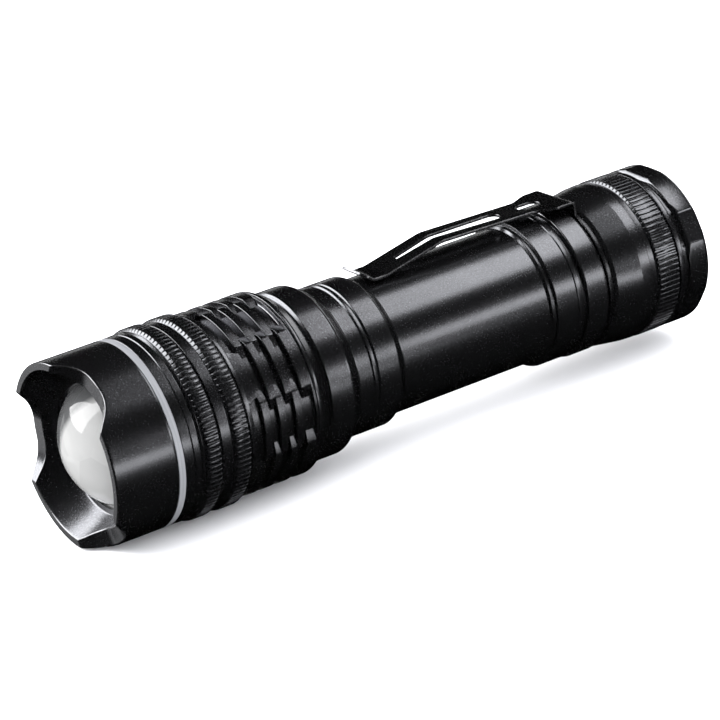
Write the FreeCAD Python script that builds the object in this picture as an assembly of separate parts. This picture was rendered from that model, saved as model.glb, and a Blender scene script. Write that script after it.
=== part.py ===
import FreeCAD, Part
import math
import os

# Push-pull zoom flashlight, lying on its side with the belt clip on top.
# Every length is in millimetres. A station is a distance along the light, measured
# from the front rim of the bezel towards the tail, with the head pushed right in.
# +X runs towards the tail, +Z is up, and the origin lies under the middle of the
# light, on the surface that its widest band touches.

# ---- overall ----
LENGTH = 141.5
KNURL_RADIUS = 19.05
AXIS_HEIGHT = KNURL_RADIUS
CLEARANCE = 0.05

# ---- bezel ----
BEZEL_RADIUS = 18.5
BEZEL_END = 13.3
BEZEL_CHAMFER = 0.5
RIM_BORE = 16.9
LIP_BORE = 12.4
LIP_FRONT = 6.7
LENS_BORE = 13.8
SPIGOT_END = 19.5
TOOTH_COUNT = 3
NOTCH_ANGLE = 29.8
NOTCH_DEPTH = 3.8
NOTCH_FLOOR_WIDTH = 9.24
NOTCH_CORNER = 8.0
NOTCH_FLARE = 1.165
ACCENT_WIDTH = 1.4

# ---- lens ----
LENS_RADIUS = 13.6
DOME_RADIUS = 14.0
DOME_CENTRE = 14.5
LENS_FRONT = 7.5
FLANGE_THICKNESS = 2.0
GASKET_SECTION = 1.2
RETAINER_LENGTH = 3.0
RETAINER_BORE = 11.6
SPANNER_SLOT_WIDTH = 1.6
SPANNER_SLOT_DEPTH = 1.2

# ---- head sleeve ----
SLEEVE_END = 47.6
SLEEVE_BORE = 15.9
LIP_START = 43.6
BEAD_START = 16.8
BEAD_END = 18.1
BEAD_RADIUS = 18.55
LAND_RADIUS = 18.6
BAND_BED_RADIUS = 18.3
FRONT_BAND_START = 19.0
FRONT_BAND_END = 22.9
REAR_BAND_START = 25.1
REAR_BAND_END = 29.3
HEAD_TEETH = 106
TOOTH_DEPTH = 0.28
TOOTH_CREST = 0.3
HEAD_TOOTH_BEVEL = 0.7
FIN_RADIUS = 18.4
FIN_FLOOR = 17.4
FIN_ZONE_START = 30.4
FIN_ZONE_END = 44.0
SECTOR_COUNT = 10
SECTOR_PHASE = 56.7
LAND_REACH = 2.3
TONGUE_TAPER = 1.3
RIM_LINE_START = 44.2
RIM_LINE_END = 44.5
RIM_LINE_DEPTH = 0.3
RIM_CONE_START = 45.3
RIM_CONE_BREAK = 46.9
RIM_CONE_BREAK_RADIUS = 17.45
RIM_END_RADIUS = 16.95
LONG_SECTOR_FINS = [(34.7, 36.3), (38.2, 39.9), (41.8, 44.1)]
SHORT_SECTOR_FINS = [(32.5, 34.1), (35.9, 37.5), (39.5, 41.1)]
GLIDE_START = 44.8
GLIDE_LENGTH = 1.8
GLIDE_RADIUS = 16.4

# ---- focus tube ----
TUBE_RADIUS = 15.2
TUBE_BORE = 13.05
TUBE_START = 27.0
TUBE_END = 60.6
COLLAR_RADIUS = 17.1
COLLAR_START = 47.9
COLLAR_END = 53.2
COLLAR_TAPER = 2.4
COLLAR_CHAMFER = 0.65
TUBE_GROOVE_START = 58.2
TUBE_GROOVE_END = 59.7
TUBE_GROOVE_DEPTH = 0.25
FOCUS_SEAL_START = 28.2
FOCUS_SEAL_SECTION = 1.6
STOP_START = 31.6
STOP_LENGTH = 1.8
STOP_RADIUS = 15.85
STOP_SEAT_DEPTH = 0.8
STOP_SPLIT = 1.5

# ---- light engine ----
PILLAR_TOP = 15.9
PILLAR_RADIUS = 11.0
PILLAR_THREAD_START = 38.0
PILLAR_END = 48.5
CAVITY_RADIUS = 9.5
CAVITY_START = 40.0
STAR_RADIUS = 10.0
STAR_THICKNESS = 1.6
STAR_POINTS = 6
STAR_BITE = 1.6
LED_BASE = 5.0
LED_BASE_THICKNESS = 0.7
LED_DOME_RADIUS = 1.7
RING_RADIUS = 10.4
RING_THICKNESS = 0.9
LEAD_RADIUS = 0.6
LEAD_OFFSET = 3.2
DRIVER_RADIUS = 12.9
DRIVER_THICKNESS = 1.6
CHIP = {"across": -1, "up": 5.5, "width": 5, "height": 4, "tall": 1.6}
INDUCTOR = {"across": 3, "up": -5.5, "width": 4, "height": 4, "tall": 3.0}
CAPACITOR = {"across": -4, "up": -5, "width": 3, "height": 2, "tall": 1.2}

# ---- barrel ----
BARREL_RADIUS = 13.93
BARREL_BORE = 11.3
SPIGOT_START = 53.0
SPIGOT_RADIUS = 13.0
FRONT_CHAMFER = 0.35
FRONT_SHOULDER = 65.7
FRONT_SHOULDER_LENGTH = 1.6
COLLAR_ONE_START = 102.9
COLLAR_ONE_RADIUS = 15.12
COLLAR_ONE_CONE = 0.45
COLLAR_ONE_STEP = 0.8
COLLAR_ONE_STEP_RADIUS = 14.4
COLLAR_LINE = 108.85
COLLAR_LINE_DEPTH = 0.2
COLLAR_GAP = 1.0
COLLAR_GAP_DEPTH = 0.6
COLLAR_TWO_START = 111.1
COLLAR_TWO_RADIUS = 15.5
COLLAR_TWO_END = 115.8
SHOULDER_END = 116.5
TAIL_THREAD_RADIUS = 13.55
TAIL_THREAD_START = 119.9
TAIL_THREAD_PITCH = 1.0
TAIL_THREAD_DEPTH = 0.55
TAIL_THREAD_FLAT = 0.2
BARREL_END = 124.3
TAIL_SEAL_START = 118.1
TAIL_SEAL_SECTION = 1.3
BARREL_SEAL_START = 58.7
BARREL_SEAL_SECTION = 0.95

# ---- battery carrier ----
CARRIER_FRONT = 58.0
DISC_RADIUS = 11.1
DISC_THICKNESS = 2.6
CELL_COUNT = 3
CELL_RADIUS = 5.1
CELL_LENGTH = 43.3
CELL_NUB_RADIUS = 1.9
CELL_NUB_LENGTH = 1.2
CELL_CIRCLE = 5.95
CELL_SPRING_LENGTH = 2.4
POST_CIRCLE = 9.55
POST_RADIUS = 1.45
CONTACT_THICKNESS = 0.6
CONTACT_BUTTON_RADIUS = 3.8
CONTACT_PLATE_RADIUS = 8.5
CONTACT_GAP = 0.1

# ---- belt clip ----
CLIP_THICKNESS = 0.6
CLIP_WIDTH = 7.8
CLIP_TIP = 66.9
CLIP_TIP_HEIGHT = 16.2
CLIP_TOUCH_START = 69.5
CLIP_TOUCH_END = 72.4
CLIP_TOUCH_GAP = 0.3
CLIP_RISE_END = 86.0
CLIP_PEAK_HEIGHT = 17.38
CLIP_HINGE = 105.6
CLIP_HINGE_HEIGHT = 16.81
CLIP_HINGE_GAP = 0.06
PLATE_WIDTH = 11.8
PLATE_START = 110.0
PLATE_HEIGHT = 16.68
TIP_BEND = 2.5
RISE_BEND = 8.0
PLATE_BEND = 20.0
TAB_BEND = 0.7
CLIP_RING_START = 116.6
CLIP_RING_THICKNESS = 1.0
CLIP_RING_RADIUS = 15.35
CLIP_RING_BORE = 13.8
TAB_ROOT_RADIUS = 13.95
PLATE_FLARE_START = 108.9
PLATE_FLARE_END = 112.9
PLATE_FLARE_BEND = 3.0
CLIP_TIP_CORNER = 1.6
SLOT_START = 77.2
SLOT_END = 102.6
SLOT_NARROW = 1.2
SLOT_WIDTH = 3.3
SLOT_FRONT_CORNER = 0.5
SLOT_REAR_CORNER = 1.5
HOLE_START = 107.3
HOLE_END = 112.5
HOLE_WIDTH = 3.2
HOLE_CORNER = 1.2

# ---- tail cap ----
CAP_START = 117.75
CAP_FACE_RADIUS = 15.15
CAP_FACE_BEVEL = 0.8
CAP_FRONT_RADIUS = 15.52
CAP_KINK = 124.3
CAP_KINK_RADIUS = 16.29
CAP_WAIST = 126.6
CAP_WAIST_RADIUS = 16.41
CAP_RADIUS = 16.5
CAP_BORE = 13.6
CAP_BORE_END = 124.5
CAP_BAND_START = 128.1
CAP_BAND_END = 133.8
CAP_TEETH = 92
CAP_TOOTH_BEVEL = 0.55
CAP_BAND_DEPTH = 0.6
CROWN_GROOVE_START = 135.0
CROWN_GROOVE_DEPTH = 0.7
CROWN_START = 136.2
CROWN_CHAMFER = 1.3
CROWN_FLATS = 6
CROWN_FLAT_PHASE = 63.4
CROWN_FLAT_RADIUS = 16.05
CROWN_FLAT_WIDTH = 6.4
CROWN_FLAT_FLARE = 1.8
CROWN_BITE_RADIUS = 15.45
CROWN_BITE_REACH = 2.0
CROWN_WALL = 12.8
CROWN_FLOOR = 138.3
SWITCH_WALL = 136.3
BUTTON_HOLE = 7.3
BOARD_BORE = 11.1
BOARD_SHOULDER = 128.0
SWITCH_BORE = 9.8

# ---- tail switch ----
BUTTON_TRAVEL = 1.5
BOOT_RADIUS = 7.1
BOOT_TIP = 140.8
BOOT_FLANGE_RADIUS = 9.3
BOOT_FLANGE = 1.1
BOOT_EDGE = 1.6
BOOT_FACE_RADIUS = 3.9
BOOT_DOME = 3.5
SWITCH_SIDE = 11.0
SWITCH_BODY_END = 133.4
SWITCH_CORNER_RADIUS = 6.82
PLUNGER_RADIUS = 2.6
PLUNGER_START = 129.9
SWITCH_BOARD_THICKNESS = 1.4
SWITCH_RETAINER_LENGTH = 2.0
SWITCH_RETAINER_BORE = 7.6

# ---- coil springs ----
RUNS_PER_TURN = 14
DRIVER_SPRING_TURNS = 4
DRIVER_SPRING_WIRE = 0.45
DRIVER_SPRING_BASE = 4.2
DRIVER_SPRING_TIP = 3.0
TAIL_SPRING_TURNS = 5
TAIL_SPRING_WIRE = 0.5
TAIL_SPRING_BASE = 6.2
TAIL_SPRING_TIP = 3.4
CELL_SPRING_TURNS = 2
CELL_SPRING_WIRE = 0.3
CELL_SPRING_BASE = 3.4
CELL_SPRING_TIP = 2.4

AXIS = FreeCAD.Vector(1, 0, 0)
ORIGIN = FreeCAD.Vector(0, 0, 0)


def rounded_wire(corners):
    """Closed wire through (x, y, z, corner radius) corners that lie in one plane."""
    count = len(corners)
    edges = []
    starts = []
    for index in range(count):
        before = FreeCAD.Vector(*corners[index - 1][:3])
        here = FreeCAD.Vector(*corners[index][:3])
        after = FreeCAD.Vector(*corners[(index + 1) % count][:3])
        radius = corners[index][3]
        if radius == 0:
            starts.append((here, here, None))
            continue
        back = (before - here).normalize()
        ahead = (after - here).normalize()
        half = back.getAngle(ahead) / 2
        reach = radius / math.tan(half)
        inward = (back + ahead).normalize()
        middle = here + inward * (radius / math.sin(half) - radius)
        starts.append((here + back * reach, here + ahead * reach, middle))
    for index in range(count):
        first, last, middle = starts[index]
        following = starts[(index + 1) % count][0]
        if middle is not None:
            edges.append(Part.Arc(first, middle, last).toShape())
        if last.distanceToPoint(following) > 1e-6:
            edges.append(Part.LineSegment(last, following).toShape())
    return Part.Wire(edges)


def turned(outline, start_angle=0.0, sweep=360.0):
    """Solid turned about the axis from (station, radius[, corner radius]) corners.

    A part turn starts at start_angle, measured from the top towards -Y."""
    corners = []
    for corner in outline:
        fillet = corner[2] if len(corner) > 2 else 0
        corners.append((corner[0], 0, corner[1], fillet))
    face = Part.Face(rounded_wire(corners))
    solid = face.revolve(ORIGIN, AXIS, sweep)
    return spun(solid, start_angle)


def spun(shape, angle):
    """The shape turned about the axis, from the top towards -Y."""
    turned_copy = shape.copy()
    turned_copy.rotate(ORIGIN, AXIS, angle)
    return turned_copy


def tube(start, end, outer, inner, bevel=0.0):
    """Plain ring from start to end, with its outer edges bevelled."""
    outline = [
        (start, inner),
        (end, inner),
        (end, outer - bevel),
        (end - bevel, outer),
        (start + bevel, outer),
        (start, outer - bevel),
    ]
    if bevel == 0:
        outline = [(start, inner), (end, inner), (end, outer), (start, outer)]
    return turned(outline)


def rod(start, end, radius):
    """Plain cylinder on the axis from start to end."""
    return Part.makeCylinder(radius, end - start, FreeCAD.Vector(start, 0, 0), AXIS)


def o_ring(start, section, outer):
    """Round-section seal whose outside radius is outer."""
    centre = FreeCAD.Vector(start + section / 2, 0, 0)
    return Part.makeTorus(outer - section / 2, section / 2, centre, AXIS)


def ring_of_solids(shape, count, phase=0.0):
    """Copies of the shape spaced evenly about the axis."""
    return [spun(shape, phase + index * 360.0 / count) for index in range(count)]


def knurled_band(start, end, outer, inner, teeth, bevel):
    """Ring with straight teeth cut along the axis and bevelled tooth ends."""
    pitch = 2 * math.pi / teeth
    corners = []
    for index in range(teeth):
        centre = index * pitch
        for offset, radius in ((-TOOTH_CREST, outer), (TOOTH_CREST, outer), (0.5, outer - TOOTH_DEPTH)):
            angle = centre + offset * pitch
            corners.append((start, -radius * math.sin(angle), radius * math.cos(angle), 0))
    toothed = Part.Face(rounded_wire(corners)).extrude(AXIS * (end - start))
    envelope = tube(start, end, outer + 1.0, inner)
    envelope = envelope.common(tube(start, end, outer + bevel * 0.2, inner, bevel))
    return toothed.common(envelope)


def coil(start, end, start_radius, end_radius, turns, wire):
    """Coil spring of round wire along the axis, straight or conical."""
    count = turns * RUNS_PER_TURN
    points = []
    for index in range(count + 1):
        part = index / count
        angle = 2 * math.pi * turns * part
        radius = start_radius + (end_radius - start_radius) * part
        station = start + wire + (end - start - 2 * wire) * part
        points.append(FreeCAD.Vector(station, radius * math.cos(angle), radius * math.sin(angle)))
    runs = [Part.LineSegment(points[index], points[index + 1]).toShape() for index in range(count)]
    profile = Part.Wire([Part.makeCircle(wire, points[0], points[1] - points[0])])
    return Part.Wire(runs).makePipeShell([profile], True, False, 1)


def bezel():
    """Front ring: notched rim, inner cone, lip in front of the lens, threaded spigot."""
    body = turned([
        (0, RIM_BORE),
        (LIP_FRONT, LENS_BORE - 0.3, 0.3),
        (LIP_FRONT, LIP_BORE),
        (LENS_FRONT - CLEARANCE, LIP_BORE),
        (LENS_FRONT - CLEARANCE, LENS_BORE),
        (SPIGOT_END, LENS_BORE),
        (SPIGOT_END, SLEEVE_BORE - CLEARANCE),
        (BEZEL_END, SLEEVE_BORE - CLEARANCE),
        (BEZEL_END, BEZEL_RADIUS, 0.15),
        (0, BEZEL_RADIUS, BEZEL_CHAMFER),
    ])
    floor = NOTCH_FLOOR_WIDTH / 2
    mouth = floor + (NOTCH_DEPTH + 1) * NOTCH_FLARE
    corners = [
        (-1, -mouth, LIP_BORE, 0),
        (NOTCH_DEPTH, -floor, LIP_BORE, NOTCH_CORNER),
        (NOTCH_DEPTH, floor, LIP_BORE, NOTCH_CORNER),
        (-1, mouth, LIP_BORE, 0),
    ]
    notch = Part.Face(rounded_wire(corners)).extrude(FreeCAD.Vector(0, 0, BEZEL_RADIUS))
    return body.cut(ring_of_solids(notch, TOOTH_COUNT, NOTCH_ANGLE))


def accent_ring():
    """Bright ring clamped between the bezel and the sleeve."""
    end = BEZEL_END + ACCENT_WIDTH
    return tube(BEZEL_END, end, BEZEL_RADIUS + 0.02, SLEEVE_BORE, 0.08)


def lens():
    """Domed lens with a flat back and a flange."""
    flange = rod(LENS_FRONT, LENS_FRONT + FLANGE_THICKNESS, LENS_RADIUS)
    dome = Part.makeSphere(DOME_RADIUS, FreeCAD.Vector(DOME_CENTRE, 0, 0))
    dome = dome.common(rod(0, LENS_FRONT + FLANGE_THICKNESS / 2, LENS_RADIUS))
    return flange.fuse(dome).removeSplitter()


def lens_gasket():
    """Seal behind the lens flange."""
    return o_ring(LENS_FRONT + FLANGE_THICKNESS, GASKET_SECTION, LENS_BORE - CLEARANCE)


def spanner_slot(start):
    """Bar that cuts two spanner slots across a retaining ring."""
    corner = FreeCAD.Vector(start, -BEZEL_RADIUS, -SPANNER_SLOT_WIDTH / 2)
    return Part.makeBox(SPANNER_SLOT_DEPTH, 2 * BEZEL_RADIUS, SPANNER_SLOT_WIDTH, corner)


def lens_retainer():
    """Threaded ring that clamps the lens and its gasket."""
    start = LENS_FRONT + FLANGE_THICKNESS + GASKET_SECTION
    end = start + RETAINER_LENGTH
    ring = tube(start, end, LENS_BORE - CLEARANCE, RETAINER_BORE, 0.3)
    return ring.cut(spanner_slot(end - SPANNER_SLOT_DEPTH))


def fin(start, end, sector_start, sector_angle):
    """One fin segment on the sleeve."""
    outline = [
        (start, FIN_FLOOR - 0.3),
        (end, FIN_FLOOR - 0.3),
        (end, FIN_RADIUS, 0.35),
        (start, FIN_RADIUS, 0.25),
    ]
    return turned(outline, sector_start, sector_angle)


def land_tongue():
    """Tongue that carries the land behind the rear knurled band into a long sector."""
    half_angle = math.radians(180.0 / SECTOR_COUNT)
    wide = FIN_RADIUS * math.sin(half_angle)
    narrow = wide - TONGUE_TAPER
    end = FIN_ZONE_START + LAND_REACH
    corners = [
        (FIN_ZONE_START - 0.2, -wide, 0, 0),
        (end, -narrow, 0, 0.3),
        (end, narrow, 0, 0.3),
        (FIN_ZONE_START - 0.2, wide, 0, 0),
    ]
    prism = Part.Face(rounded_wire(corners)).extrude(FreeCAD.Vector(0, 0, 2 * FIN_RADIUS))
    return prism.common(tube(FIN_ZONE_START - 0.2, end, FIN_RADIUS, FIN_FLOOR - 0.3, 0.15))


def head_sleeve():
    """Sliding sleeve: two knurled bands, staggered fins and a lip that rides on the tube."""
    start = BEZEL_END + ACCENT_WIDTH
    glide_end = GLIDE_START + GLIDE_LENGTH
    body = turned([
        (start, SLEEVE_BORE),
        (LIP_START, SLEEVE_BORE),
        (LIP_START, TUBE_RADIUS + CLEARANCE),
        (GLIDE_START, TUBE_RADIUS + CLEARANCE),
        (GLIDE_START, GLIDE_RADIUS),
        (glide_end, GLIDE_RADIUS),
        (glide_end, TUBE_RADIUS + CLEARANCE),
        (SLEEVE_END, TUBE_RADIUS + CLEARANCE, 0.2),
        (SLEEVE_END, RIM_END_RADIUS, 0.15),
        (RIM_CONE_BREAK, RIM_CONE_BREAK_RADIUS, 1.5),
        (RIM_CONE_START, FIN_RADIUS, 1.5),
        (RIM_LINE_END + 0.1, FIN_RADIUS, 0.1),
        (RIM_LINE_END, FIN_RADIUS - RIM_LINE_DEPTH),
        (RIM_LINE_START, FIN_RADIUS - RIM_LINE_DEPTH),
        (RIM_LINE_START - 0.1, FIN_RADIUS, 0.1),
        (FIN_ZONE_END, FIN_RADIUS),
        (FIN_ZONE_END, FIN_FLOOR, 0.3),
        (FIN_ZONE_START, FIN_FLOOR, 0.3),
        (FIN_ZONE_START, FIN_RADIUS, 0.15),
        (REAR_BAND_END, LAND_RADIUS),
        (REAR_BAND_END, BAND_BED_RADIUS),
        (REAR_BAND_START, BAND_BED_RADIUS),
        (REAR_BAND_START, LAND_RADIUS, 0.1),
        (FRONT_BAND_END, LAND_RADIUS, 0.1),
        (FRONT_BAND_END, BAND_BED_RADIUS),
        (FRONT_BAND_START, BAND_BED_RADIUS),
        (FRONT_BAND_START, LAND_RADIUS, 0.1),
        (BEAD_END + 0.1, BAND_BED_RADIUS - 0.2, 0.2),
        (BEAD_END, BEAD_RADIUS, 0.3),
        (BEAD_START + 0.15, BEAD_RADIUS, 0.3),
        (BEAD_START, BEZEL_RADIUS - 0.15),
        (BEAD_START - 0.15, BEZEL_RADIUS, 0.1),
        (start, BEZEL_RADIUS, 0.12),
    ])
    pieces = []
    root = BAND_BED_RADIUS - 0.3
    for band_start, band_end in ((FRONT_BAND_START, FRONT_BAND_END), (REAR_BAND_START, REAR_BAND_END)):
        pieces.append(knurled_band(band_start, band_end, KNURL_RADIUS, root, HEAD_TEETH, HEAD_TOOTH_BEVEL))
    sector = 360.0 / SECTOR_COUNT
    for index in range(SECTOR_COUNT):
        centre = SECTOR_PHASE + index * sector
        fins = LONG_SECTOR_FINS if index % 2 == 0 else SHORT_SECTOR_FINS
        for fin_start, fin_end in fins:
            pieces.append(fin(fin_start, fin_end, centre - sector / 2, sector))
        if index % 2 == 0:
            pieces.append(spun(land_tongue(), centre))
    return body.fuse(pieces)


def glide_ring():
    """Plastic ring that the sleeve turns about and rides along the tube on."""
    start = GLIDE_START + CLEARANCE
    end = GLIDE_START + GLIDE_LENGTH - CLEARANCE
    return tube(start, end, GLIDE_RADIUS - CLEARANCE, TUBE_RADIUS + CLEARANCE / 2, 0.1)


def focus_tube():
    """Neck that the head slides on, with grooves for its seal and stop and a collar."""
    seal_end = FOCUS_SEAL_START + FOCUS_SEAL_SECTION
    seal_floor = STOP_RADIUS - FOCUS_SEAL_SECTION
    stop_end = STOP_START + STOP_LENGTH
    return turned([
        (TUBE_START, TUBE_BORE),
        (TUBE_END, TUBE_BORE),
        (TUBE_END, TUBE_RADIUS, 0.25),
        (TUBE_GROOVE_END, TUBE_RADIUS, 0.1),
        (TUBE_GROOVE_END - 0.2, TUBE_RADIUS - TUBE_GROOVE_DEPTH),
        (TUBE_GROOVE_START + 0.2, TUBE_RADIUS - TUBE_GROOVE_DEPTH),
        (TUBE_GROOVE_START, TUBE_RADIUS, 0.1),
        (COLLAR_END + 0.5 + COLLAR_TAPER, TUBE_RADIUS, 0.9),
        (COLLAR_END + 0.5, COLLAR_RADIUS, 1.4),
        (COLLAR_START + COLLAR_CHAMFER, COLLAR_RADIUS, 0.1),
        (COLLAR_START, COLLAR_RADIUS - COLLAR_CHAMFER, 0.1),
        (COLLAR_START, TUBE_RADIUS),
        (stop_end, TUBE_RADIUS),
        (stop_end, TUBE_RADIUS - STOP_SEAT_DEPTH),
        (STOP_START, TUBE_RADIUS - STOP_SEAT_DEPTH),
        (STOP_START, TUBE_RADIUS),
        (seal_end, TUBE_RADIUS),
        (seal_end, seal_floor),
        (FOCUS_SEAL_START, seal_floor),
        (FOCUS_SEAL_START, TUBE_RADIUS),
        (TUBE_START, TUBE_RADIUS, 0.3),
    ])


def stop_ring():
    """Split ring that stops the sleeve's lip at full zoom."""
    inner = TUBE_RADIUS - STOP_SEAT_DEPTH
    ring = tube(STOP_START, STOP_START + STOP_LENGTH, STOP_RADIUS, inner, 0.15)
    corner = FreeCAD.Vector(STOP_START, -STOP_SPLIT / 2, -KNURL_RADIUS)
    return ring.cut(Part.makeBox(STOP_LENGTH, STOP_SPLIT, KNURL_RADIUS, corner))


def focus_oring():
    """Seal between the tube and the sleeve's bore."""
    return o_ring(FOCUS_SEAL_START, FOCUS_SEAL_SECTION, STOP_RADIUS)


def led_pillar():
    """Aluminium pillar: LED seat in front, thread and driver cavity behind."""
    body = turned([
        (PILLAR_TOP, 0),
        (CAVITY_START, 0),
        (CAVITY_START, CAVITY_RADIUS),
        (PILLAR_END, CAVITY_RADIUS),
        (PILLAR_END, TUBE_BORE - CLEARANCE),
        (PILLAR_THREAD_START, TUBE_BORE - CLEARANCE),
        (PILLAR_THREAD_START, PILLAR_RADIUS, 0.8),
        (PILLAR_TOP, PILLAR_RADIUS, 0.4),
    ])
    passages = []
    for side in (-LEAD_OFFSET, LEAD_OFFSET):
        base = FreeCAD.Vector(PILLAR_TOP, side, 0)
        passages.append(Part.makeCylinder(LEAD_RADIUS + 0.3, PILLAR_END - PILLAR_TOP, base, AXIS))
    return body.cut(passages)


def led_board():
    """Star-shaped LED board with two holes for its leads."""
    start = PILLAR_TOP - STAR_THICKNESS
    board = rod(start, PILLAR_TOP, STAR_RADIUS)
    bite = Part.makeCylinder(STAR_BITE, STAR_THICKNESS, FreeCAD.Vector(start, 0, STAR_RADIUS), AXIS)
    cuts = ring_of_solids(bite, STAR_POINTS)
    for side in (-LEAD_OFFSET, LEAD_OFFSET):
        base = FreeCAD.Vector(start, side, 0)
        cuts.append(Part.makeCylinder(LEAD_RADIUS + CLEARANCE, STAR_THICKNESS, base, AXIS))
    return board.cut(cuts)


def led_emitter():
    """LED package: square base with a clear dome."""
    seat = PILLAR_TOP - STAR_THICKNESS
    corner = FreeCAD.Vector(seat - LED_BASE_THICKNESS, -LED_BASE / 2, -LED_BASE / 2)
    base = Part.makeBox(LED_BASE_THICKNESS, LED_BASE, LED_BASE, corner)
    dome = Part.makeSphere(LED_DOME_RADIUS, FreeCAD.Vector(seat - LED_BASE_THICKNESS, 0, 0))
    dome = dome.common(rod(seat - LED_BASE, seat - LED_BASE_THICKNESS / 2, LED_DOME_RADIUS))
    return base.fuse(dome)


def led_centring_ring():
    """White insulating disc round the LED."""
    end = PILLAR_TOP - STAR_THICKNESS
    start = end - RING_THICKNESS
    disc = rod(start, end, RING_RADIUS)
    side = LED_BASE + 2 * CLEARANCE
    window = Part.makeBox(RING_THICKNESS, side, side, FreeCAD.Vector(start, -side / 2, -side / 2))
    return disc.cut(window)


def led_leads():
    """Two wires from the driver board, through the pillar, to the LED board."""
    leads = []
    start = PILLAR_TOP - STAR_THICKNESS
    for side in (-LEAD_OFFSET, LEAD_OFFSET):
        base = FreeCAD.Vector(start, side, 0)
        leads.append(Part.makeCylinder(LEAD_RADIUS, PILLAR_END - start, base, AXIS))
    return Part.makeCompound(leads)


def driver_board():
    """Driver board with its chip, inductor and capacitors inside the pillar's cavity."""
    board = rod(PILLAR_END, PILLAR_END + DRIVER_THICKNESS, DRIVER_RADIUS)
    parts = []
    for block in (CHIP, INDUCTOR, CAPACITOR):
        across = block["across"] - block["width"] / 2
        up = block["up"] - block["height"] / 2
        corner = FreeCAD.Vector(PILLAR_END - block["tall"], across, up)
        parts.append(Part.makeBox(block["tall"], block["width"], block["height"], corner))
    return board.fuse(parts)


def driver_spring():
    """Coil contact between the driver board and the battery carrier."""
    start = PILLAR_END + DRIVER_THICKNESS
    end = CARRIER_FRONT - CONTACT_THICKNESS - CONTACT_GAP
    return coil(start, end, DRIVER_SPRING_BASE, DRIVER_SPRING_TIP, DRIVER_SPRING_TURNS, DRIVER_SPRING_WIRE)


def barrel():
    """Battery tube: front spigot, shoulders, two collars, seal groove and tail thread."""
    tail_seal_end = TAIL_SEAL_START + TAIL_SEAL_SECTION
    tail_seal_floor = CAP_BORE - CLEARANCE / 2 - TAIL_SEAL_SECTION
    front_seal_end = BARREL_SEAL_START + BARREL_SEAL_SECTION
    front_seal_floor = TUBE_BORE - CLEARANCE / 2 - BARREL_SEAL_SECTION
    outline = [
        (SPIGOT_START, BARREL_BORE),
        (BARREL_END, BARREL_BORE, 0.2),
        (BARREL_END, TAIL_THREAD_RADIUS - 0.5),
    ]
    root = TAIL_THREAD_RADIUS - TAIL_THREAD_DEPTH
    flat = TAIL_THREAD_FLAT / 2
    turns = int((BARREL_END - TAIL_THREAD_START) / TAIL_THREAD_PITCH)
    for index in range(turns):
        crest = BARREL_END - (index + 0.5) * TAIL_THREAD_PITCH
        outline.append((crest + flat, TAIL_THREAD_RADIUS))
        outline.append((crest - flat, TAIL_THREAD_RADIUS))
        outline.append((crest - 0.5 * TAIL_THREAD_PITCH, root))
    outline += [
        (TAIL_THREAD_START, TAIL_THREAD_RADIUS),
        (tail_seal_end, TAIL_THREAD_RADIUS),
        (tail_seal_end, tail_seal_floor),
        (TAIL_SEAL_START, tail_seal_floor),
        (TAIL_SEAL_START, TAIL_THREAD_RADIUS),
        (CLIP_RING_START + CLIP_RING_THICKNESS, TAIL_THREAD_RADIUS),
        (CLIP_RING_START + CLIP_RING_THICKNESS, TAIL_THREAD_RADIUS + 0.2),
        (SHOULDER_END, TAIL_THREAD_RADIUS + 0.2),
        (SHOULDER_END, COLLAR_TWO_RADIUS - COLLAR_GAP_DEPTH),
        (COLLAR_TWO_END + 0.1, COLLAR_TWO_RADIUS - COLLAR_GAP_DEPTH),
        (COLLAR_TWO_END, COLLAR_TWO_RADIUS, 0.2),
        (COLLAR_TWO_START, COLLAR_TWO_RADIUS, 0.25),
        (COLLAR_TWO_START, COLLAR_ONE_RADIUS - COLLAR_GAP_DEPTH),
        (COLLAR_TWO_START - COLLAR_GAP, COLLAR_ONE_RADIUS - COLLAR_GAP_DEPTH),
        (COLLAR_TWO_START - COLLAR_GAP, COLLAR_ONE_RADIUS, 0.2),
        (COLLAR_LINE + 0.15, COLLAR_ONE_RADIUS),
        (COLLAR_LINE, COLLAR_ONE_RADIUS - COLLAR_LINE_DEPTH),
        (COLLAR_LINE - 0.15, COLLAR_ONE_RADIUS),
        (COLLAR_ONE_START + COLLAR_ONE_STEP + 0.1, COLLAR_ONE_RADIUS, 0.2),
        (COLLAR_ONE_START + COLLAR_ONE_STEP, COLLAR_ONE_STEP_RADIUS),
        (COLLAR_ONE_START, COLLAR_ONE_STEP_RADIUS, 0.1),
        (COLLAR_ONE_START - COLLAR_ONE_CONE, BARREL_RADIUS, 0.2),
        (FRONT_SHOULDER + FRONT_SHOULDER_LENGTH, BARREL_RADIUS, 1.0),
        (FRONT_SHOULDER, TUBE_RADIUS, 0.9),
        (TUBE_END + FRONT_CHAMFER, TUBE_RADIUS, 0.1),
        (TUBE_END, TUBE_RADIUS - FRONT_CHAMFER, 0.1),
        (TUBE_END, SPIGOT_RADIUS),
        (front_seal_end, SPIGOT_RADIUS),
        (front_seal_end, front_seal_floor),
        (BARREL_SEAL_START, front_seal_floor),
        (BARREL_SEAL_START, SPIGOT_RADIUS),
        (SPIGOT_START, SPIGOT_RADIUS, 0.3),
    ]
    return turned(outline)


def barrel_oring():
    """Seal between the barrel's spigot and the focus tube."""
    return o_ring(BARREL_SEAL_START, BARREL_SEAL_SECTION, TUBE_BORE - CLEARANCE / 2)


def tail_oring():
    """Seal between the barrel's neck and the tail cap."""
    start = TAIL_SEAL_START + CLEARANCE
    return o_ring(start, TAIL_SEAL_SECTION - 2 * CLEARANCE, CAP_BORE - CLEARANCE / 2)


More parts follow.
